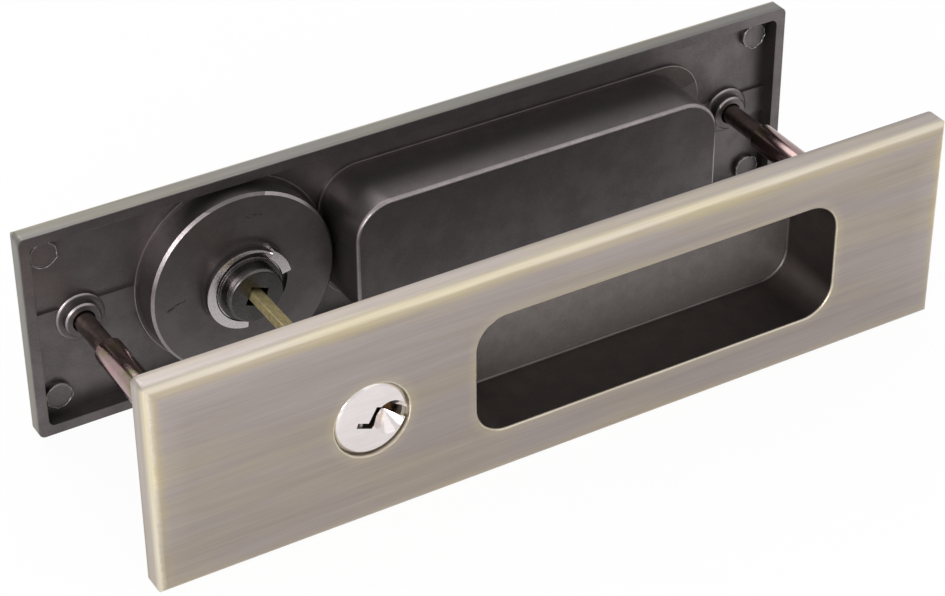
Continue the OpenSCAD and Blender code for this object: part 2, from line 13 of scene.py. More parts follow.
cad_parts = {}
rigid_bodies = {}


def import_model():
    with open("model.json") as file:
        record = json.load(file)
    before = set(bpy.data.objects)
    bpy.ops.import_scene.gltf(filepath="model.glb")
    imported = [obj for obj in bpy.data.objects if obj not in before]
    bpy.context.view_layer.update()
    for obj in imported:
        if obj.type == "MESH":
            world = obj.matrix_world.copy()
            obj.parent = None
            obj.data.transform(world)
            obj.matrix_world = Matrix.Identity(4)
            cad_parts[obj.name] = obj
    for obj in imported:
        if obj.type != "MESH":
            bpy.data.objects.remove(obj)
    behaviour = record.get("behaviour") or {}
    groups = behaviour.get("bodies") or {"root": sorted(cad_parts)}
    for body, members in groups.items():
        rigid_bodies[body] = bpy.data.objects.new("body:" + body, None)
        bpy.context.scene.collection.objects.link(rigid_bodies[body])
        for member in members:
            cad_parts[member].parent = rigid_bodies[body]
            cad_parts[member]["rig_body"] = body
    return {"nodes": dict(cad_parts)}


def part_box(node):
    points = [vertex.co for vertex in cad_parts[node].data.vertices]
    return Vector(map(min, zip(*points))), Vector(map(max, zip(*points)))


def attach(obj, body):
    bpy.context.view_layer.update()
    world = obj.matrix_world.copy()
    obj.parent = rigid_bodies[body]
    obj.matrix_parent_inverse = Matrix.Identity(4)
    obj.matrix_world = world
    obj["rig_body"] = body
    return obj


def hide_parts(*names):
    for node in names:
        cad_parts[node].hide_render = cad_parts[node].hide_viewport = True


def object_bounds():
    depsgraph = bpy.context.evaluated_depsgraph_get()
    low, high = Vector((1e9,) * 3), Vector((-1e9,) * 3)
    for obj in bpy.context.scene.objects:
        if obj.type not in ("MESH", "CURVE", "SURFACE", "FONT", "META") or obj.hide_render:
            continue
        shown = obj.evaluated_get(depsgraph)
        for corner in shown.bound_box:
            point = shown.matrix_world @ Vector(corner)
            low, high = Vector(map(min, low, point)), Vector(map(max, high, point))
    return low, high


bl_info = {
    "name": "Pocket door lock trim",
    "version": (1, 0, 0),
    "blender": (4, 5, 0),
    "location": "View3D > Sidebar > Door lock",
    "description": "Dresses the plates, cylinder, turn, tail bar and bolts of a pocket door lock",
    "category": "Object",
}

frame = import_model()
cad_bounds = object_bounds()

MM = 0.001
outer_low, outer_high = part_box("outer_plate")
plug_low, plug_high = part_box("key_plug")
bolt_low, bolt_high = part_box("bolt_right")

# Sizes that the frame gives
PLATE_L = outer_high.x - outer_low.x
PLATE_H = outer_high.z - outer_low.z
FACE_Y = -outer_low.y
MID_Z = (outer_low.z + outer_high.z) / 2
AXIS_X = (plug_low.x + plug_high.x) / 2
BOLT_X = (bolt_low.x + bolt_high.x) / 2
BOLT_HEAD_R = bolt_high.x - BOLT_X

# Sizes of the castings that the frame's boxes don't give
PLATE_T = 5.0 * MM
CORNER_R = 1.2 * MM
SKIN_T = 1.4 * MM          # plate left between its face and the tray behind it
STEP_T = 0.8 * MM          # step round the well, on the floor of the tray
PULL_X = 18.4 * MM
PULL_L = 75.2 * MM
PULL_H = 23.7 * MM
PULL_R = 6.0 * MM
PULL_D = 14.0 * MM
KEY_HOLE_R = 7.2 * MM
WELL_R = 16.0 * MM
WELL_D = 5.4 * MM
WELL_BACK_Y = FACE_Y - PLATE_T - 2.6 * MM
MARK_R = 2.5 * MM          # discs that the ejector pins leave in the tray's corners
MARK_T = 1.0 * MM
MARK_END = 5.4 * MM        # from the plate's end to the middle of a disc
MARK_EDGE = 6.0 * MM       # from the plate's long edge to the middle of a disc
MARK_POINTS = 40
# Faces of the retaining ring beyond this step from the lug's end take the hub's dark colour as
# painted shade
RING_STEP = 0.65 * MM      # from the end of the ring's lug to below its bright rim
PLUG_RIM = 1.0 * MM        # depth behind the plug's face in which its edges are worked

# Casting scars on the back of the well, as points in mm from its axis; they are drawn near black
# as painted shade
SCARS = (((-15.3, -1.1), (-13.6, -0.2), (-11.6, 0.3)),
         ((0.9, 13.3), (2.5, 13.6), (4.3, 13.2)))

# Finishes of a plate, in the order of its materials
# The fourth finish is the casting made lighter on the rounded edges of the backs: a painted
# highlight
BRUSHED, FLOOR, CAST, PAINTED_GLINT, SHADED_WALL = range(5)

# What tells the faces of a plate apart. Outward is 1 for a face that looks straight out.
FACE_SLACK = 1e-5
FLOOR_OUTWARD = 0.98
OPEN_OUTWARD = 0.3         # faces that look out more than this belong to a hollow's rounds
LEVEL_OUTWARD = 0.05       # faces that look out or in less than this are sides
PAINTED_GLINT_OUTWARD = (-0.95, -0.12)
SIDE_INSET = 1.0 * MM
RIM_INSET = 4.0 * MM

# How the CAD meshes are cleaned before their edges are worked
WELD = 2e-6
SLIVER = 1e-6
EDGE_SLACK = 5e-6
FLAT = math.radians(0.4)
SHARP = math.radians(30.0)
NORMAL_WEIGHT = 80

# Lamps: name, place and size in metres, and the setting with the power
LAMPS = (("key_lamp", (-0.36, -0.36, 0.2), 0.2, "key"),
         ("crown_lamp", (0.38, -0.55, 0.74), 0.9, "crown"),
         ("back_lamp", (0.04, 0.6, 0.76), 0.5, "back"))
FLOOR_REACH = 6.0

CAMERA_PLACE = Vector((-0.21123, -0.35300, 0.29834))
CAMERA_TARGET = Vector((-0.00374, 0.00034, 0.01660))
CAMERA_ROLL = math.radians(-0.337)
SENSOR_MM = 36.0
CLIP = (0.01, 20.0)


def srgb(red, green, blue):
    """A colour written as 0 to 255 on screen, as linear light."""
    def channel(value):
        value /= 255
        return value / 12.92 if value <= 0.04045 else ((value + 0.055) / 1.055) ** 2.4
    return (channel(red), channel(green), channel(blue))


def shade(tint, factor):
    return tuple(min(1.0, channel * factor) for channel in tint)


def length(name, description, default):
    return FloatProperty(name=name, description=description, default=default * MM,
                         min=0.0, soft_max=0.01, precision=5, unit="LENGTH")


def colour(name, description, red, green, blue):
    return FloatVectorProperty(name=name, description=description, default=srgb(red, green, blue),
                               size=3, min=0.0, max=1.0, subtype="COLOR")


def share(name, description, default, low=0.0, high=1.0):
    return FloatProperty(name=name, description=description, default=default,
                         min=low, max=high, subtype="FACTOR")


def watts(name, description, default):
    return FloatProperty(name=name, description=description, default=default,
                         min=0.0, soft_max=50.0, unit="POWER")


class LockEdges(bpy.types.PropertyGroup):
    """Worked edges of the castings"""
    mouth: length("Pull mouth", "Round along the mouth of the finger pull", 0.45)
    hole: length("Key hole", "Bevel round the key hole and the well", 0.2)
    cast: length("Cast edges", "Round on the backs of the castings", 0.3)
    small: length("Small edges", "Round of turned and cut parts", 0.1)


class LockFinish(bpy.types.PropertyGroup):
    """Colours of the finishes"""
    bronze: colour("Brushed bronze", "Face of the plates", 171, 162, 157)
    # The outer plate's sides are given lighter than its face: a painted highlight from the lit
    # top side
    bronze_side_with_sheen: colour("Outer plate's sides", "Sides of the plate with the key", 190, 181, 176)
    inner_side: colour("Inner plate's sides", "Sides of the plate with the turn", 140, 138, 134)
    gold: colour("Worn gold", "Brass that shows through along the edges", 202, 190, 168)
    # Worn brass on the crowns of the edges, made bright as a painted highlight
    gold_wear_and_highlight: colour("Bright gold", "Brass on the crown of an edge", 229, 220, 201)
    recess: colour("Recess floor", "Grained floor of the finger pull", 142, 135, 132)
    # The pull's walls are given darker than its floor: painted shade in the recess
    recess_wall_shaded: colour("Recess walls", "Smooth walls of the finger pull", 104, 98, 96)
    casting: colour("Casting", "Dark bronze on the backs of the plates", 116, 110, 110)
    flash: colour("Flash", "Bare zinc at the ejector marks", 150, 146, 146)
    nickel: colour("Nickel", "Face of the key plug", 240, 233, 232)
    brass: colour("Brass", "Tail bar", 218, 202, 150)
    wafer: colour("Wafers", "Tarnished brass of the wafers", 92, 68, 44)
    hub: colour("Hub", "Hub of the thumb turn", 96, 92, 92)
    bolt: colour("Bolts", "Dark bronze of the bolts", 128, 116, 110)
    sleeve: colour("Sleeves", "Passivated sleeves", 168, 144, 142)
    steel: colour("Steel", "Clips, springs, pins and washers", 160, 162, 164)
    zinc: colour("Zinc", "Housing of the cylinder", 190, 188, 184)
    stroke: length("Brush pitch", "Distance between brush strokes", 0.28)
    stroke_length: length("Brush length", "Length of a brush stroke", 16.0)
    wear: share("Wear", "How much gold shows round the holes", 0.5)


class LockStage(bpy.types.PropertyGroup):
    """Floor, lamps and camera"""
    floor: colour("Floor", "Colour of the floor", 243, 243, 243)
    whiteness: share("Whiteness", "Share of plain white in the floor that the camera sees", 0.94)
    mirrored: share("Mirrored whiteness", "Share of plain white in the mirrored floor", 0.3)
    horizon: share("Horizon", "Level of the light from low down", 0.84, 0.0, 2.0)
    zenith: share("Zenith", "Level of the light from overhead", 0.8, 0.0, 2.0)
    key: watts("Key lamp", "Power of the lamp at the front left", 1.3)
    crown: watts("Crown lamp", "Power of the large lamp above the front", 0.8)
    back: watts("Back lamp", "Power of the lamp above the back", 1.4)
    lens: FloatProperty(name="Lens", description="Focal length of the camera", default=105.15,
                        min=20.0, max=300.0, subtype="DISTANCE_CAMERA")


class Graph:
    """Adds nodes to one tree and links them as it goes."""

    def __init__(self, tree):
        self.tree = tree

    def fill(self, socket, value):
        if isinstance(value, bpy.types.NodeSocket):
            self.tree.links.new(value, socket)
        elif value is not None:
            if socket.type == "RGBA" and len(value) == 3:
                value = (*value, 1.0)
            socket.default_value = value

    def node(self, kind, *values, named=None, **settings):
        made = self.tree.nodes.new(kind)
        for key, value in settings.items():
            setattr(made, key, value)
        for socket, value in zip(made.inputs, values):
            self.fill(socket, value)
        for key, value in (named or {}).items():
            self.fill(made.inputs[key], value)
        return made

    def math(self, operation, a, b=None):
        return self.node("ShaderNodeMath", a, b, operation=operation).outputs[0]

    def plus(self, a, b):
        return self.math("ADD", a, b)

    def minus(self, a, b):
        return self.math("SUBTRACT", a, b)

    def times(self, a, b):
        return self.math("MULTIPLY", a, b)

    def vector(self, operation, a, b=None):
        made = self.node("ShaderNodeVectorMath", a, b, operation=operation)
        return made.outputs["Value" if operation in ("LENGTH", "DOT_PRODUCT") else "Vector"]

    def scaled(self, vector, factors):
        return self.vector("MULTIPLY", vector, factors)

    def join(self, x=0.0, y=0.0, z=0.0):
        return self.node("ShaderNodeCombineXYZ", x, y, z).outputs[0]

    def split(self, vector):
        return self.node("ShaderNodeSeparateXYZ", vector).outputs

    def place(self):
        """Where a point lies, in metres."""
        return self.node("ShaderNodeTexCoord").outputs["Object"]

    def normal(self):
        return self.node("ShaderNodeNewGeometry").outputs["Normal"]

    def step(self, value, low, high, to_low=0.0, to_high=1.0, kind="SMOOTHSTEP"):
        return self.node("ShaderNodeMapRange", value, low, high, to_low, to_high,
                         interpolation_type=kind).outputs[0]

    def linear(self, value, low, high, to_low=0.0, to_high=1.0):
        return self.step(value, low, high, to_low, to_high, kind="LINEAR")

    # The Mix node keeps sockets 2 and 3 for numbers, and 6 and 7 for colours
    def mix(self, factor, a, b, blend="MIX"):
        made = self.node("ShaderNodeMix", data_type="RGBA", blend_type=blend)
        for index, value in ((0, factor), (6, a), (7, b)):
            self.fill(made.inputs[index], value)
        return made.outputs[2]

    def between(self, factor, a, b):
        made = self.node("ShaderNodeMix", data_type="FLOAT")
        for index, value in ((0, factor), (2, a), (3, b)):
            self.fill(made.inputs[index], value)
        return made.outputs[0]

    def tinted(self, tint, factors):
        """A colour with each channel multiplied."""
        return self.mix(1.0, tint, factors, "MULTIPLY")

    def noise(self, vector, scale=1.0, detail=2.0, roughness=0.5, distortion=0.0):
        return self.node("ShaderNodeTexNoise", named={
            "Vector": vector, "Scale": scale, "Detail": detail, "Roughness": roughness,
            "Distortion": distortion}).outputs["Fac"]

    def ramp(self, value, stops):
        """Colours at places along a value, with straight changes between them."""
        low, high = stops[0][0], stops[-1][0]
        made = self.node("ShaderNodeValToRGB", self.linear(value, low, high))
        elements = made.color_ramp.elements
        while len(elements) < len(stops):
            elements.new(0.5)
        for element, (at, tint) in zip(elements, stops):
            element.position = (at - low) / (high - low)
            element.color = (*tint, 1.0)
        return made.outputs["Color"]

    def group(self, name, **values):
        made = self.node("ShaderNodeGroup", node_tree=bpy.data.node_groups[name])
        for key, value in values.items():
            self.fill(made.inputs[key.replace("_", " ")], value)
        return made.outputs


def new_group(name, inputs, outputs, kind="ShaderNodeTree"):
    """A node group with named sockets. Returns its graph, its inputs and its output node."""
    tree = bpy.data.node_groups.new(name, kind)
    for label, type_name, value in inputs:
        socket = tree.interface.new_socket(label, in_out="INPUT",
                                           socket_type="NodeSocket" + type_name)
        if value is not None:
            socket.default_value = value
    for label, type_name in outputs:
        tree.interface.new_socket(label, in_out="OUTPUT", socket_type="NodeSocket" + type_name)
    graph = Graph(tree)
    return graph, graph.node("NodeGroupInput").outputs, graph.node("NodeGroupOutput").inputs


def group_stroke_direction():
    """Turns the pattern so that strokes run along X, and along Z on faces that look along X."""
    graph, _, out = new_group("Stroke direction", [], [("Vector", "Vector")])
    along = graph.math("ABSOLUTE", graph.split(graph.normal())[0])
    x, y, z = graph.split(graph.place())
    end = graph.math("GREATER_THAN", along, 0.7)
    turned = graph.join(graph.between(end, x, z), y, graph.between(end, z, x))
    graph.fill(out["Vector"], turned)


def group_brushing():
    """Fine strokes, broad bands and single scratches along the first axis of the vector."""
    graph, given, out = new_group(
        "Brushing",
        [("Vector", "Vector", None), ("Pitch", "Float", 0.28 * MM), ("Length", "Float", 16 * MM)],
        [("Tone", "Float"), ("Height", "Float")])
    band_scale = (0.45, 0.14, 0.14)
    scratch_scale = (0.7, 1.9, 1.9)
    along = graph.math("DIVIDE", 1.0, given["Length"])
    across = graph.math("DIVIDE", 1.0, given["Pitch"])
    laid = graph.scaled(given["Vector"], graph.join(along, across, across))
    fine = graph.noise(laid, roughness=0.7)
    bands = graph.noise(graph.scaled(laid, band_scale), detail=3.0, roughness=0.6)
    scratch = graph.step(graph.noise(graph.scaled(laid, scratch_scale), detail=1.0), 0.6, 0.74)
    tone = graph.plus(graph.times(graph.linear(fine, 0.28, 0.72), 0.5),
                      graph.times(graph.linear(bands, 0.3, 0.7), 0.5))
    graph.fill(out["Tone"], graph.plus(tone, graph.times(scratch, 0.16)))
    graph.fill(out["Height"], graph.minus(fine, graph.times(scratch, 0.35)))


def group_rounded_rectangle():
    """Distance in X and Z from a rounded rectangle, negative inside."""
    graph, given, out = new_group(
        "Rounded rectangle",
        [("Centre X", "Float", 0.0), ("Centre Z", "Float", 0.0), ("Half length", "Float", 0.01),
         ("Half height", "Float", 0.01), ("Radius", "Float", 0.0)],
        [("Distance", "Float")])
    x, _, z = graph.split(graph.place())
    sides = []
    for place, centre, half in ((x, "Centre X", "Half length"), (z, "Centre Z", "Half height")):
        off = graph.math("ABSOLUTE", graph.minus(place, given[centre]))
        sides.append(graph.minus(off, graph.minus(given[half], given["Radius"])))
    outside = graph.vector("LENGTH", graph.join(graph.math("MAXIMUM", sides[0], 0.0),
                                                graph.math("MAXIMUM", sides[1], 0.0)))
    inside = graph.math("MINIMUM", graph.math("MAXIMUM", sides[0], sides[1]), 0.0)
    graph.fill(out["Distance"], graph.minus(graph.plus(outside, inside), given["Radius"]))


def group_ring_distance():
    """Distance in X and Z from a circle, negative inside."""
    graph, given, out = new_group(
        "Ring distance",
        [("Centre X", "Float", 0.0), ("Centre Z", "Float", 0.0), ("Radius", "Float", 0.01)],
        [("Distance", "Float")])
    x, _, z = graph.split(graph.place())
    span = graph.vector("LENGTH", graph.join(graph.minus(x, given["Centre X"]),
                                             graph.minus(z, given["Centre Z"])))
    graph.fill(out["Distance"], graph.minus(span, given["Radius"]))


def group_casting_skin():
    """Grain, pits and cloudy patches of a die-cast surface."""
    graph, given, out = new_group(
        "Casting skin", [("Grain", "Float", 0.3 * MM)],
        [("Tone", "Float"), ("Height", "Float"), ("Cloud", "Float")])
    scale = graph.math("DIVIDE", 1.0, given["Grain"])
    laid = graph.scaled(graph.place(), graph.join(scale, scale, scale))
    grain = graph.noise(laid, detail=3.0, roughness=0.65)
    cloud = graph.noise(laid, scale=0.05, detail=3.0, roughness=0.55)
    pits = graph.step(graph.noise(laid, scale=0.6, detail=1.0), 0.62, 0.74)
    patches = graph.step(cloud, 0.35, 0.65)
    graph.fill(out["Tone"], graph.plus(graph.times(graph.step(grain, 0.3, 0.7), 0.6),
                                       graph.times(patches, 0.4)))
    graph.fill(out["Height"], graph.minus(grain, graph.times(pits, 0.8)))
    graph.fill(out["Cloud"], patches)


def group_wear_and_glint_edge():
    """Mask of the edges brightened as wear and as a painted highlight, concave edges as well as
    convex ones, broken up along their length.
    """
    graph, given, out = new_group(
        "Worn edge", [("Width", "Float", 0.2 * MM), ("Break", "Float", 0.35)],
        [("Mask", "Float")])
    patch_scale = 420.0
    soft = graph.node("ShaderNodeBevel", given["Width"], samples=4).outputs[0]
    turn = graph.minus(1.0, graph.vector("DOT_PRODUCT", soft, graph.normal()))
    edge = graph.step(turn, 0.01, 0.16)
    patch = graph.step(graph.noise(graph.place(), patch_scale, detail=3.0, roughness=0.6),
                       0.3, 0.6)
    kept = graph.minus(1.0, graph.times(given["Break"], graph.minus(1.0, patch)))
    graph.fill(out["Mask"], graph.times(edge, kept))


GROUPS = (group_stroke_direction, group_brushing, group_rounded_rectangle, group_ring_distance,
          group_casting_skin, group_wear_and_glint_edge)


def metal(name, build, metallic=1.0):
    """A metal whose colour, roughness, height and depth of relief come from build(graph)."""
    material = bpy.data.materials.new(name)
    material.use_nodes = True
    graph = Graph(material.node_tree)
    shader = material.node_tree.nodes["Principled BSDF"]
    tint, roughness, height, depth = build(graph)
    shader.inputs["Metallic"].default_value = metallic
    graph.fill(shader.inputs["Base Color"], tint)
    graph.fill(shader.inputs["Roughness"], roughness)
    bump = graph.node("ShaderNodeBump",
                      named={"Strength": 1.0, "Distance": depth, "Height": height})
    graph.fill(shader.inputs["Normal"], bump.outputs["Normal"])
    return material


def bronze_stops(finish, side):
    """Colours across a plate's edge: negative places down its side, positive across its face. The
    bright gold on the crown is worn brass lightened into a painted highlight, and the lighter
    bronze about 3 mm in is a painted sheen.
    """
    stops = ((-5.0, shade(side, 0.94)), (-4.4, shade(side, 0.84)), (-3.8, side), (-2.0, side),
             (-0.5, finish.gold_wear_and_highlight), (0.4, finish.gold_wear_and_highlight), (1.1, finish.gold),
             (1.9, shade(finish.gold, 0.88)), (3.0, shade(finish.bronze, 1.12)),
             (7.0, finish.bronze))
    return [(at * MM, tint) for at, tint in stops]


def brushed_bronze(name, side, holes):
    """Lacquered bronze, brushed along the plate and wearing through to gold at its edges and its
    holes, with painted highlights on the crowns of the edges and the rims of the holes.
    """
    finish = bpy.context.scene.lock_finish
    patch_scale = (60.0, 900.0, 900.0)
    warm_scale = (25.0, 160.0, 160.0)
    warm_tint = (1.04, 1.03, 0.92)
    dark_tint = (0.84, 0.82, 0.83)

    def build(graph):
        _, y, z = graph.split(graph.place())
        depth = graph.minus(FACE_Y, graph.math("ABSOLUTE", y))
        beyond = graph.group(
            "Rounded rectangle", Centre_X=0.0, Centre_Z=MID_Z, Half_length=PLATE_L / 2,
            Half_height=PLATE_H / 2, Radius=CORNER_R)["Distance"]
        turned = graph.group("Stroke direction")["Vector"]
        brushing = graph.group("Brushing", Vector=turned, Pitch=finish.stroke,
                               Length=finish.stroke_length)
        patch = graph.noise(graph.scaled(turned, patch_scale))
        wander = graph.times(graph.minus(patch, 0.5), 0.8 * MM)
        over = graph.minus(wander, graph.plus(beyond, depth))
        tint = graph.ramp(over, bronze_stops(finish, side))
        # The lower edge shows less gold than the upper one: partly less wear, partly painted
        # shade that dims the painted crown highlight
        low = graph.times(graph.step(z, 26.0 * MM, 6.0 * MM),
                          graph.step(over, -0.2 * MM, 0.6 * MM))
        tint = graph.mix(graph.times(low, 0.6), tint, finish.bronze)
        for label, values in holes:
            gap = graph.plus(graph.group(label, **values)["Distance"], graph.times(wander, 0.5))
            halo = graph.times(graph.step(gap, 2.4 * MM, 0.1 * MM), finish.wear)
            # A thin bright line of worn brass right at each hole's edge, lightened as a painted
            # highlight
            line = graph.times(graph.step(gap, 0.4 * MM, 0.1 * MM), 0.8)
            tint = graph.mix(halo, tint, shade(finish.gold, 0.88))
            tint = graph.mix(line, tint, finish.gold_wear_and_highlight)
        tone = brushing["Tone"]
        warm = graph.step(graph.noise(graph.scaled(turned, warm_scale)), 0.42, 0.66)
        tint = graph.mix(warm, tint, graph.tinted(tint, warm_tint))
        tint = graph.mix(graph.linear(tone, 0.1, 1.0), graph.tinted(tint, dark_tint), tint)
        return tint, graph.between(tone, 0.46, 0.38), brushing["Height"], 0.006 * MM

    return metal(name, build)


def cast_metal(name, tint, grain=0.3, rough=0.5, edge=0.5, depth=0.02, cloud=0.1):
    """A die-cast surface with fine grain, faint cloudy patches and edges made bright as wear and
    as a painted highlight.
    """
    def build(graph):
        skin = graph.group("Casting skin", Grain=grain * MM)
        base = graph.mix(skin["Tone"], shade(tint, 0.8), shade(tint, 1.1))
        base = graph.mix(graph.times(skin["Cloud"], cloud), base, shade(tint, 1.5))
        if edge:
            wear_and_glint = graph.group("Worn edge", Width=0.22 * MM)["Mask"]
            base = graph.mix(graph.times(wear_and_glint, edge), base, shade(tint, 2.4))
        roughness = graph.between(skin["Tone"], rough + 0.05, rough - 0.05)
        return base, roughness, skin["Height"], depth * MM

    return metal(name, build)


def worked_metal(name, tint, pitch=0.15, along=6.0, rough=0.3, edge=0.4, depth=0.004,
                 mottle=None, metallic=1.0):
    """A turned, stamped or plated part: fine tool marks, slight mottling and edges made bright as
    wear and as a painted highlight.
    """
    spot_scale = 900.0

    def build(graph):
        place = graph.place()
        marks = graph.group("Brushing", Vector=place, Pitch=pitch * MM, Length=along * MM)
        wear_and_glint = graph.group("Worn edge", Width=0.15 * MM)["Mask"]
        spots = graph.noise(place, spot_scale, detail=3.0, roughness=0.6)
        base = graph.mix(marks["Tone"], shade(tint, 0.88), tint)
        if mottle:
            base = graph.mix(graph.step(spots, 0.4, 0.62), base, mottle)
        base = graph.mix(graph.times(wear_and_glint, edge), base, shade(tint, 1.6))
        roughness = graph.between(spots, rough - 0.05, rough + 0.07)
        return base, roughness, marks["Height"], depth * MM

    return metal(name, build, metallic)


def passivated_metal(name, tint):
    """Passivated zinc, whose dark film turns from purple to olive and blue."""
    purple, olive, blue = srgb(176, 140, 142), srgb(150, 142, 112), srgb(150, 148, 158)
    bare = srgb(236, 228, 214)
    film_scale = 180.0

    def build(graph):
        place = graph.place()
        film = graph.noise(place, film_scale, distortion=0.3)
        base = graph.ramp(film, [(0.3, purple), (0.42, shade(tint, 1.1)), (0.55, tint),
                                 (0.66, olive), (0.78, blue)])
        wear_and_glint = graph.group("Worn edge", Width=0.3 * MM)["Mask"]
        marks = graph.group("Brushing", Vector=place, Pitch=0.12 * MM, Length=2 * MM)
        # Bare metal along the edges, as wear and as a painted highlight
        base = graph.mix(graph.times(wear_and_glint, 0.7), base, bare)
        base = graph.mix(graph.times(marks["Tone"], 0.3), base, shade(tint, 0.5))
        return base, graph.between(film, 0.1, 0.2), marks["Height"], 0.002 * MM

    return metal(name, build)


def flash_tree():
    """Geometry Nodes: a thin ragged lip along the edges of a mesh."""
    graph, given, out = new_group(
        "Casting flash",
        [("Path", "Geometry", None), ("Width", "Float", 0.3 * MM), ("Step", "Float", 0.12 * MM),
         ("Raggedness", "Float", 0.9 * MM), ("Seed", "Float", 3.0),
         ("Material", "Material", None)],
        [("Flash", "Geometry")], "GeometryNodeTree")
    tooth_scale = 1300.0
    path = graph.node("GeometryNodeMeshToCurve", named={"Mesh": given["Path"]}).outputs[0]
    curves = graph.node("GeometryNodeResampleCurve", mode="LENGTH",
                        named={"Curve": path, "Length": given["Step"]}).outputs[0]
    thin = graph.node(
        "GeometryNodeCurvePrimitiveCircle", mode="RADIUS",
        named={"Resolution": 6, "Radius": graph.times(given["Width"], 0.5)}).outputs["Curve"]
    lip = graph.node("GeometryNodeCurveToMesh", named={
        "Curve": curves, "Profile Curve": thin, "Fill Caps": True}).outputs[0]
    place = graph.node("GeometryNodeInputPosition").outputs[0]
    ragged = graph.node("ShaderNodeTexNoise", noise_dimensions="4D", named={
        "Vector": place, "W": given["Seed"], "Scale": tooth_scale,
        "Detail": 3.0}).outputs["Color"]
    reach = graph.join(given["Raggedness"], given["Raggedness"], given["Raggedness"])
    push = graph.scaled(graph.vector("SUBTRACT", ragged, (0.5, 0.5, 0.5)), reach)
    moved = graph.node("GeometryNodeSetPosition",
                       named={"Geometry": lip, "Offset": push}).outputs[0]
    whole = graph.node("GeometryNodeRealizeInstances", moved).outputs[0]
    done = graph.node("GeometryNodeSetMaterial",
                      named={"Geometry": whole, "Material": given["Material"]}).outputs[0]
    graph.fill(out["Flash"], done)
    return graph.tree


def linked(name, data):
    """A new object in the scene."""
    made = bpy.data.objects.new(name, data)
    bpy.context.scene.collection.objects.link(made)
    return made


def grown(tree, name, path, **values):
    """A plain mesh that a Geometry Nodes tree grows along a path of points and edges."""
    points, edges = path
    seeds = bpy.data.meshes.new(name + "_path")
    seeds.from_pydata(points, edges, [])
    holder = linked(name + "_grower", seeds)
    modifier = holder.modifiers.new("Growth", "NODES")
    modifier.node_group = tree
    for item in tree.interface.items_tree:
        if item.in_out == "INPUT" and item.name in values:
            modifier[item.identifier] = values[item.name]
    ready = holder.evaluated_get(bpy.context.evaluated_depsgraph_get())
    data = bpy.data.meshes.new_from_object(ready)
    data.name = name
    bpy.data.objects.remove(holder)
    bpy.data.meshes.remove(seeds)
    if not data.polygons:
        raise RuntimeError(f"{name} grew no faces")
    return linked(name, data)


def sharp_edges(mesh, low, high):
    """Outward sharp edges of a bmesh that lie between two corners."""
    chosen = []
    for edge in mesh.edges:
        if len(edge.link_faces) != 2 or not edge.is_convex or edge.calc_face_angle(0.0) < SHARP:
            continue
        if all(low[i] - EDGE_SLACK <= vert.co[i] <= high[i] + EDGE_SLACK
               for vert in edge.verts for i in range(3)):
            chosen.append(edge)
    return chosen


def worked_copy(node, name, loops, finishes, choose=None):
    """A copy of a CAD node with worked edges and its own finishes, which stands for that node.
    Each loop gives two corners, a width and a number of segments."""
    source = frame["nodes"][node]
    mesh = bmesh.new()
    mesh.from_mesh(source.data)
    bmesh.ops.remove_doubles(mesh, verts=mesh.verts, dist=WELD)
    bmesh.ops.dissolve_degenerate(mesh, edges=mesh.edges, dist=SLIVER)
    bmesh.ops.dissolve_limit(mesh, angle_limit=FLAT, verts=mesh.verts, edges=mesh.edges)
    for low, high, width, segments in loops:
        edges = sharp_edges(mesh, low, high)
        if not edges:
            raise RuntimeError(f"{node}: no edge between {tuple(low)} and {tuple(high)}")
        bmesh.ops.bevel(mesh, geom=edges, offset=width, segments=segments, profile=0.5,
                        affect="EDGES", clamp_overlap=True, loop_slide=True)
    mesh.normal_update()
    data = bpy.data.meshes.new(name)
    for material in finishes:
        data.materials.append(material)
    for face in mesh.faces:
        face.smooth = True
        face.material_index = choose(face) if choose else 0
    mesh.to_mesh(data)
    mesh.free()
    if "custom_normal" in data.attributes:
        data.attributes.remove(data.attributes["custom_normal"])
    data.set_sharp_from_angle(angle=SHARP)
    piece = linked(name, data)
    weighted = piece.modifiers.new("Weighted normals", "WEIGHTED_NORMAL")
    weighted.keep_sharp = True
    weighted.weight = NORMAL_WEIGHT
    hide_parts(node)
    place_with(piece, node)
    return piece


def place_with(piece, node):
    """Lets a piece ride with a CAD node, on that node's body."""
    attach(piece, body_of_node(node))


def body_of_node(node):
    return frame["nodes"][node]["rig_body"]


def dress(node, material):
    """Puts a finish on a CAD node that keeps its shape."""
    source = frame["nodes"][node]
    if not source.material_slots:
        raise RuntimeError(f"{node} has no material slot")
    for holder in source.material_slots:
        holder.material = material


def face_hole_r(side):
    """Radius of the round hole in a plate's face."""
    return KEY_HOLE_R if side < 0 else WELL_R


def plate_loops(side, edges):
    """Edges to work on a plate. side is -1 for the outer plate and 1 for the inner one."""
    def band(x, half_length, half_height, depth):
        level = side * (FACE_Y - depth)
        return (Vector((x - half_length, level, MID_Z - half_height)),
                Vector((x + half_length, level, MID_Z + half_height)))

    hole = face_hole_r(side)
    half_length, half_height = PLATE_L / 2, PLATE_H / 2
    return [(*band(PULL_X, PULL_L / 2, PULL_H / 2, 0.0), edges.mouth, 3),
            (*band(AXIS_X, hole, hole, 0.0), edges.hole, 2),
            *((*band(0.0, half_length, half_height, depth), edges.cast, 2)
              for depth in (PLATE_T, SKIN_T + STEP_T, SKIN_T + MARK_T))]


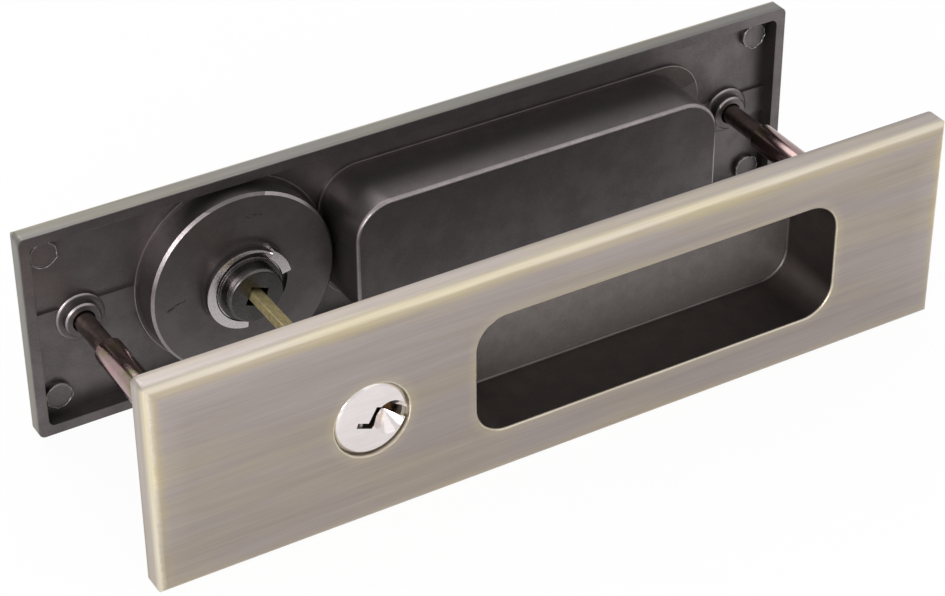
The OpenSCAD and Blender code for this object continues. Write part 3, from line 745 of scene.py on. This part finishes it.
def plate_finish(face, side, edges):
    """Which finish a face of a plate takes."""
    centre = face.calc_center_median()
    outward = side * face.normal.y
    depth = FACE_Y - side * centre.y
    rise = abs(centre.z - MID_Z)
    inset = min(PLATE_L / 2 - abs(centre.x), PLATE_H / 2 - rise)

    def hollow(x, half_length, half_height, top, floor):
        """Whether the face is a wall or the floor of a hollow in the plate's face."""
        off = Vector((centre.x - x, 0.0, centre.z - MID_Z))
        across = abs(off.x) <= half_length + FACE_SLACK and rise <= half_height + FACE_SLACK
        inside = top * 0.9 < depth < floor + FACE_SLACK
        return across and inside and (outward > OPEN_OUTWARD or off.dot(face.normal) < 0)

    # The walls of a hollow take a darker finish than its floor, as painted shade
    floor_or_shaded_wall = FLOOR if outward > FLOOR_OUTWARD else SHADED_WALL
    if hollow(PULL_X, PULL_L / 2, PULL_H / 2, edges.mouth, PULL_D):
        return floor_or_shaded_wall
    if side > 0 and hollow(AXIS_X, WELL_R, WELL_R, edges.hole, WELL_D):
        return floor_or_shaded_wall
    if side < 0 and hollow(AXIS_X, KEY_HOLE_R, KEY_HOLE_R, 0.0, PLATE_T):
        return BRUSHED
    if outward > LEVEL_OUTWARD and depth < PLATE_T - FACE_SLACK:
        return BRUSHED
    if outward > -LEVEL_OUTWARD and inset < SIDE_INSET:
        return BRUSHED
    # Rounded back edges away from the plate's rim take the painted highlight
    low, high = PAINTED_GLINT_OUTWARD
    return PAINTED_GLINT if low < outward < high and inset >= RIM_INSET else CAST


def mark_rings(side):
    """Circles round the four ejector marks on the back of a plate, as points and edges."""
    points, edges = [], []
    for x in (-1, 1):
        for z in (-1, 1):
            first = len(points)
            for i in range(MARK_POINTS):
                angle = 2 * math.pi * i / MARK_POINTS
                points.append((x * (PLATE_L / 2 - MARK_END) + MARK_R * math.cos(angle),
                               side * (FACE_Y - SKIN_T - MARK_T),
                               MID_Z + z * (PLATE_H / 2 - MARK_EDGE) + MARK_R * math.sin(angle)))
                edges.append((first + i, first + (i + 1) % MARK_POINTS))
    return points, edges


def scar_lines():
    """The casting scars on the back of the well, as points and edges."""
    points, edges = [], []
    for line in SCARS:
        first = len(points)
        points += [(AXIS_X + x * MM, WELL_BACK_Y, MID_Z + z * MM) for x, z in line]
        edges += [(first + i, first + i + 1) for i in range(len(line) - 1)]
    return points, edges


class LOCK_OT_castings(bpy.types.Operator):
    """Works the edges of both cast plates and gives them brushed, recessed and cast finishes"""
    bl_idname = "lock_trim.castings"
    bl_label = "Castings"

    def execute(self, context):
        edges, finish = context.scene.lock_edges, context.scene.lock_finish
        floor = cast_metal("plate_recess", finish.recess, grain=0.17, rough=0.56, edge=0.0,
                           depth=0.035, cloud=0.0)
        # The pull's walls: smoother than the floor, and darker as painted shade
        wall = cast_metal("plate_recess_wall", finish.recess_wall_shaded, grain=0.2, rough=0.42,
                          edge=0.0, depth=0.008, cloud=0.0)
        cast = cast_metal("plate_casting", finish.casting, grain=0.28, rough=0.44, edge=0.0,
                          depth=0.014, cloud=0.12)
        # Lighter casting for the rounded back edges: a painted highlight
        painted_glint = cast_metal("plate_casting_edge", shade(finish.casting, 1.8), grain=0.6,
                            rough=0.36, edge=0.0, depth=0.012, cloud=0.3)
        # Near-black casting for the scars: painted shade
        shaded_scar = cast_metal("plate_scar", shade(finish.casting, 0.35), grain=0.2)
        flash = cast_metal("plate_flash", finish.flash, grain=0.2, rough=0.35, edge=0.2)
        tree = flash_tree()
        for side, node, side_tint in ((-1, "outer_plate", finish.bronze_side_with_sheen),
                                      (1, "inner_plate", finish.inner_side)):
            brushed = brushed_bronze(node + "_brushed", side_tint, self.holes(side))
            worked_copy(node, node + "_worked", plate_loops(side, edges),
                        [brushed, floor, cast, painted_glint, wall],
                        lambda face: plate_finish(face, side, edges))
            lips = grown(tree, node + "_flash", mark_rings(side), Seed=2.0 + side,
                         Material=flash)
            place_with(lips, node)
        scars = grown(tree, "inner_plate_scars", scar_lines(), Width=0.22 * MM, Seed=7.0,
                      Material=shaded_scar)
        place_with(scars, "inner_plate")
        return {"FINISHED"}

    def holes(self, side):
        """Holes of a plate's face with gold round them: a distance group and its values."""
        pull = ("Rounded rectangle", dict(
            Centre_X=PULL_X, Centre_Z=MID_Z, Half_length=PULL_L / 2, Half_height=PULL_H / 2,
            Radius=PULL_R))
        rounds = [(AXIS_X, face_hole_r(side))]
        if side > 0:
            rounds += [(-BOLT_X, BOLT_HEAD_R), (BOLT_X, BOLT_HEAD_R)]
        return [pull] + [("Ring distance", dict(Centre_X=x, Centre_Z=MID_Z, Radius=radius))
                         for x, radius in rounds]


class LOCK_OT_cylinder(bpy.types.Operator):
    """Finishes the key plug, its housing, and the washer, clips and pin behind it"""
    bl_idname = "lock_trim.cylinder"
    bl_label = "Key cylinder"

    def execute(self, context):
        edges, finish = context.scene.lock_edges, context.scene.lock_finish
        nickel = worked_metal("nickel_plate", finish.nickel, pitch=0.5, along=5.0, rough=0.15,
                              edge=0.15, depth=0.001)
        zinc = cast_metal("cast_zinc", finish.zinc, grain=0.25, rough=0.4, edge=0.3)
        steel = worked_metal("spring_steel", finish.steel, pitch=0.2, along=3.0, edge=0.3)
        front = Vector((plug_high.x, plug_low.y + PLUG_RIM, plug_high.z))
        worked_copy("key_plug", "key_plug_worked", [(plug_low, front, edges.small, 2)],
                    [nickel])
        dress("cylinder_housing", zinc)
        for node in ("housing_circlip", "stop_washer", "plug_clip", "tail_pin"):
            dress(node, steel)
        return {"FINISHED"}


class LOCK_OT_wafers(bpy.types.Operator):
    """Finishes the wafers and their springs"""
    bl_idname = "lock_trim.wafers"
    bl_label = "Wafers"

    def execute(self, context):
        finish = context.scene.lock_finish
        brass = worked_metal("wafer_brass", finish.wafer, pitch=0.12, along=4.0, rough=0.4,
                             edge=0.2)
        wire = worked_metal("spring_wire", finish.steel, pitch=0.05, along=1.0, rough=0.25,
                            edge=0.2, depth=0.001)
        for number in range(1, 6):
            dress(f"wafer_{number}", brass)
            dress(f"wafer_spring_{number}", wire)
        return {"FINISHED"}


class LOCK_OT_thumb_turn(bpy.types.Operator):
    """Finishes the tail bar, hub, retaining ring and thumb turn"""
    bl_idname = "lock_trim.thumb_turn"
    bl_label = "Tail bar and thumb turn"

    def execute(self, context):
        edges, finish = context.scene.lock_edges, context.scene.lock_finish
        brass = worked_metal("tail_brass", finish.brass, pitch=0.1, along=0.8, rough=0.45,
                             depth=0.012, mottle=shade(finish.brass, 0.72), metallic=0.7)
        hub = cast_metal("hub_casting", finish.hub, grain=0.2, rough=0.28, edge=0.25,
                         depth=0.008)
        rim = worked_metal("ring_nickel", finish.nickel, pitch=0.4, along=3.0, rough=0.26,
                           edge=0.0, depth=0.001)
        # The ring's dished middle in the hub's dark colour: painted shade
        shaded_dish = cast_metal("ring_dish", finish.hub, grain=0.15, rough=0.4, edge=0.0)
        ring_low, ring_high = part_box("retaining_ring")
        dress("tail_bar", brass)
        worked_copy("turn_hub", "turn_hub_worked", [(*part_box("turn_hub"), edges.small, 2)],
                    [hub])
        worked_copy("retaining_ring", "retaining_ring_worked",
                    [(ring_low, ring_high, edges.small, 2)], [rim, shaded_dish],
                    lambda face: int(face.calc_center_median().y >= ring_low.y + RING_STEP))
        dress("thumb_turn", brushed_bronze("turn_brushed", finish.inner_side, []))
        return {"FINISHED"}


class LOCK_OT_fasteners(bpy.types.Operator):
    """Finishes the bolts and their sleeves"""
    bl_idname = "lock_trim.fasteners"
    bl_label = "Bolts and sleeves"

    def execute(self, context):
        finish = context.scene.lock_finish
        bolt = worked_metal("bolt_bronze", finish.bolt, pitch=0.18, along=12.0,
                            mottle=shade(finish.bolt, 1.2))
        sleeve = passivated_metal("sleeve_zinc", finish.sleeve)
        for side in ("left", "right"):
            dress("bolt_" + side, bolt)
            dress("sleeve_" + side, sleeve)
        return {"FINISHED"}


class LOCK_OT_stage(bpy.types.Operator):
    """Sets up the floor, the soft lamps, the surroundings and the camera"""
    bl_idname = "lock_trim.stage"
    bl_label = "Stage"

    def execute(self, context):
        stage = context.scene.lock_stage
        self.floor(stage)
        self.surroundings(stage)
        for name, place, size, setting in LAMPS:
            self.lamp(name, Vector(place), size, getattr(stage, setting))
        self.camera(stage)
        context.scene.view_settings.view_transform = "Standard"
        return {"FINISHED"}

    def floor(self, stage):
        """A pale floor that the camera sees as nearly white, and that keeps its shadows."""
        mesh = bmesh.new()
        bmesh.ops.create_grid(mesh, x_segments=1, y_segments=1, size=FLOOR_REACH)
        data = bpy.data.meshes.new("floor")
        mesh.to_mesh(data)
        mesh.free()
        floor = linked("floor", data)
        material = bpy.data.materials.new("floor_white")
        material.use_nodes = True
        graph = Graph(material.node_tree)
        shader = material.node_tree.nodes["Principled BSDF"]
        graph.fill(shader.inputs["Base Color"], tuple(stage.floor))
        shader.inputs["Roughness"].default_value = 0.9
        shader.inputs["Specular IOR Level"].default_value = 0.0
        white = graph.node("ShaderNodeEmission", (1.0, 1.0, 1.0), 1.0)
        path = graph.node("ShaderNodeLightPath").outputs
        mirrored = graph.math("MAXIMUM", path["Is Glossy Ray"], path["Is Transmission Ray"])
        share_white = graph.plus(graph.times(path["Is Camera Ray"], stage.whiteness),
                                 graph.times(mirrored, stage.mirrored))
        both = graph.node("ShaderNodeMixShader", share_white, shader.outputs[0],
                          white.outputs[0])
        output = material.node_tree.nodes["Material Output"]
        graph.fill(output.inputs["Surface"], both.outputs[0])
        data.materials.append(material)

    def surroundings(self, stage):
        """Soft light from all round, a little dimmer overhead."""
        world = bpy.data.worlds.new("soft_room")
        bpy.context.scene.world = world
        world.use_nodes = True
        graph = Graph(world.node_tree)
        up = graph.split(graph.node("ShaderNodeTexCoord").outputs["Generated"])[2]
        ground = world.node_tree.nodes["Background"]
        ground.inputs["Color"].default_value = (1.0, 1.0, 1.0, 1.0)
        level = graph.linear(up, 0.1, 0.9, stage.horizon, stage.zenith)
        graph.fill(ground.inputs["Strength"], level)

    def lamp(self, name, place, size, power):
        """A square lamp that looks at the middle of the part."""
        light = bpy.data.lights.new(name, "AREA")
        light.shape = "SQUARE"
        light.size = size
        light.energy = power
        lamp = linked(name, light)
        lamp.location = place
        middle = (cad_bounds[0] + cad_bounds[1]) / 2
        lamp.rotation_mode = "QUATERNION"
        lamp.rotation_quaternion = (middle - place).to_track_quat("-Z", "Y")

    def camera(self, stage):
        """The camera at the photograph's viewing angle, level but for a slight roll."""
        forward = (CAMERA_TARGET - CAMERA_PLACE).normalized()
        right = forward.cross(Vector((0, 0, 1))).normalized()
        up = right.cross(forward)
        across = right * math.cos(CAMERA_ROLL) + up * math.sin(CAMERA_ROLL)
        upward = up * math.cos(CAMERA_ROLL) - right * math.sin(CAMERA_ROLL)
        lens = bpy.data.cameras.new("camera")
        lens.lens = stage.lens
        lens.sensor_fit = "HORIZONTAL"
        lens.sensor_width = SENSOR_MM
        lens.clip_start, lens.clip_end = CLIP
        camera = linked("camera", lens)
        turn = Matrix((across, upward, -forward)).transposed()
        camera.matrix_world = Matrix.Translation(CAMERA_PLACE) @ turn.to_4x4()
        bpy.context.scene.camera = camera


class LOCK_PT_panel(bpy.types.Panel):
    """Sizes, finishes and steps of the door lock"""
    bl_idname = "LOCK_PT_panel"
    bl_label = "Pocket door lock"
    bl_space_type = "VIEW_3D"
    bl_region_type = "UI"
    bl_category = "Door lock"

    def draw(self, context):
        scene = context.scene
        for settings in (scene.lock_edges, scene.lock_finish, scene.lock_stage):
            box = self.layout.box()
            for name in settings.bl_rna.properties.keys():
                if name not in ("rna_type", "name"):
                    box.prop(settings, name)
        for step in STEPS:
            self.layout.operator(step.bl_idname)


STEPS = (LOCK_OT_castings, LOCK_OT_cylinder, LOCK_OT_wafers, LOCK_OT_thumb_turn,
         LOCK_OT_fasteners, LOCK_OT_stage)
CLASSES = (LockEdges, LockFinish, LockStage, *STEPS, LOCK_PT_panel)


def register():
    for cls in CLASSES:
        bpy.utils.register_class(cls)
    bpy.types.Scene.lock_edges = PointerProperty(type=LockEdges)
    bpy.types.Scene.lock_finish = PointerProperty(type=LockFinish)
    bpy.types.Scene.lock_stage = PointerProperty(type=LockStage)


def unregister():
    for name in ("lock_stage", "lock_finish", "lock_edges"):
        delattr(bpy.types.Scene, name)
    for cls in reversed(CLASSES):
        bpy.utils.unregister_class(cls)


def main():
    register()
    for build in GROUPS:
        build()
    for step in STEPS:
        group, name = step.bl_idname.split(".")
        getattr(getattr(bpy.ops, group), name)()


if __name__ == "__main__":
    main()
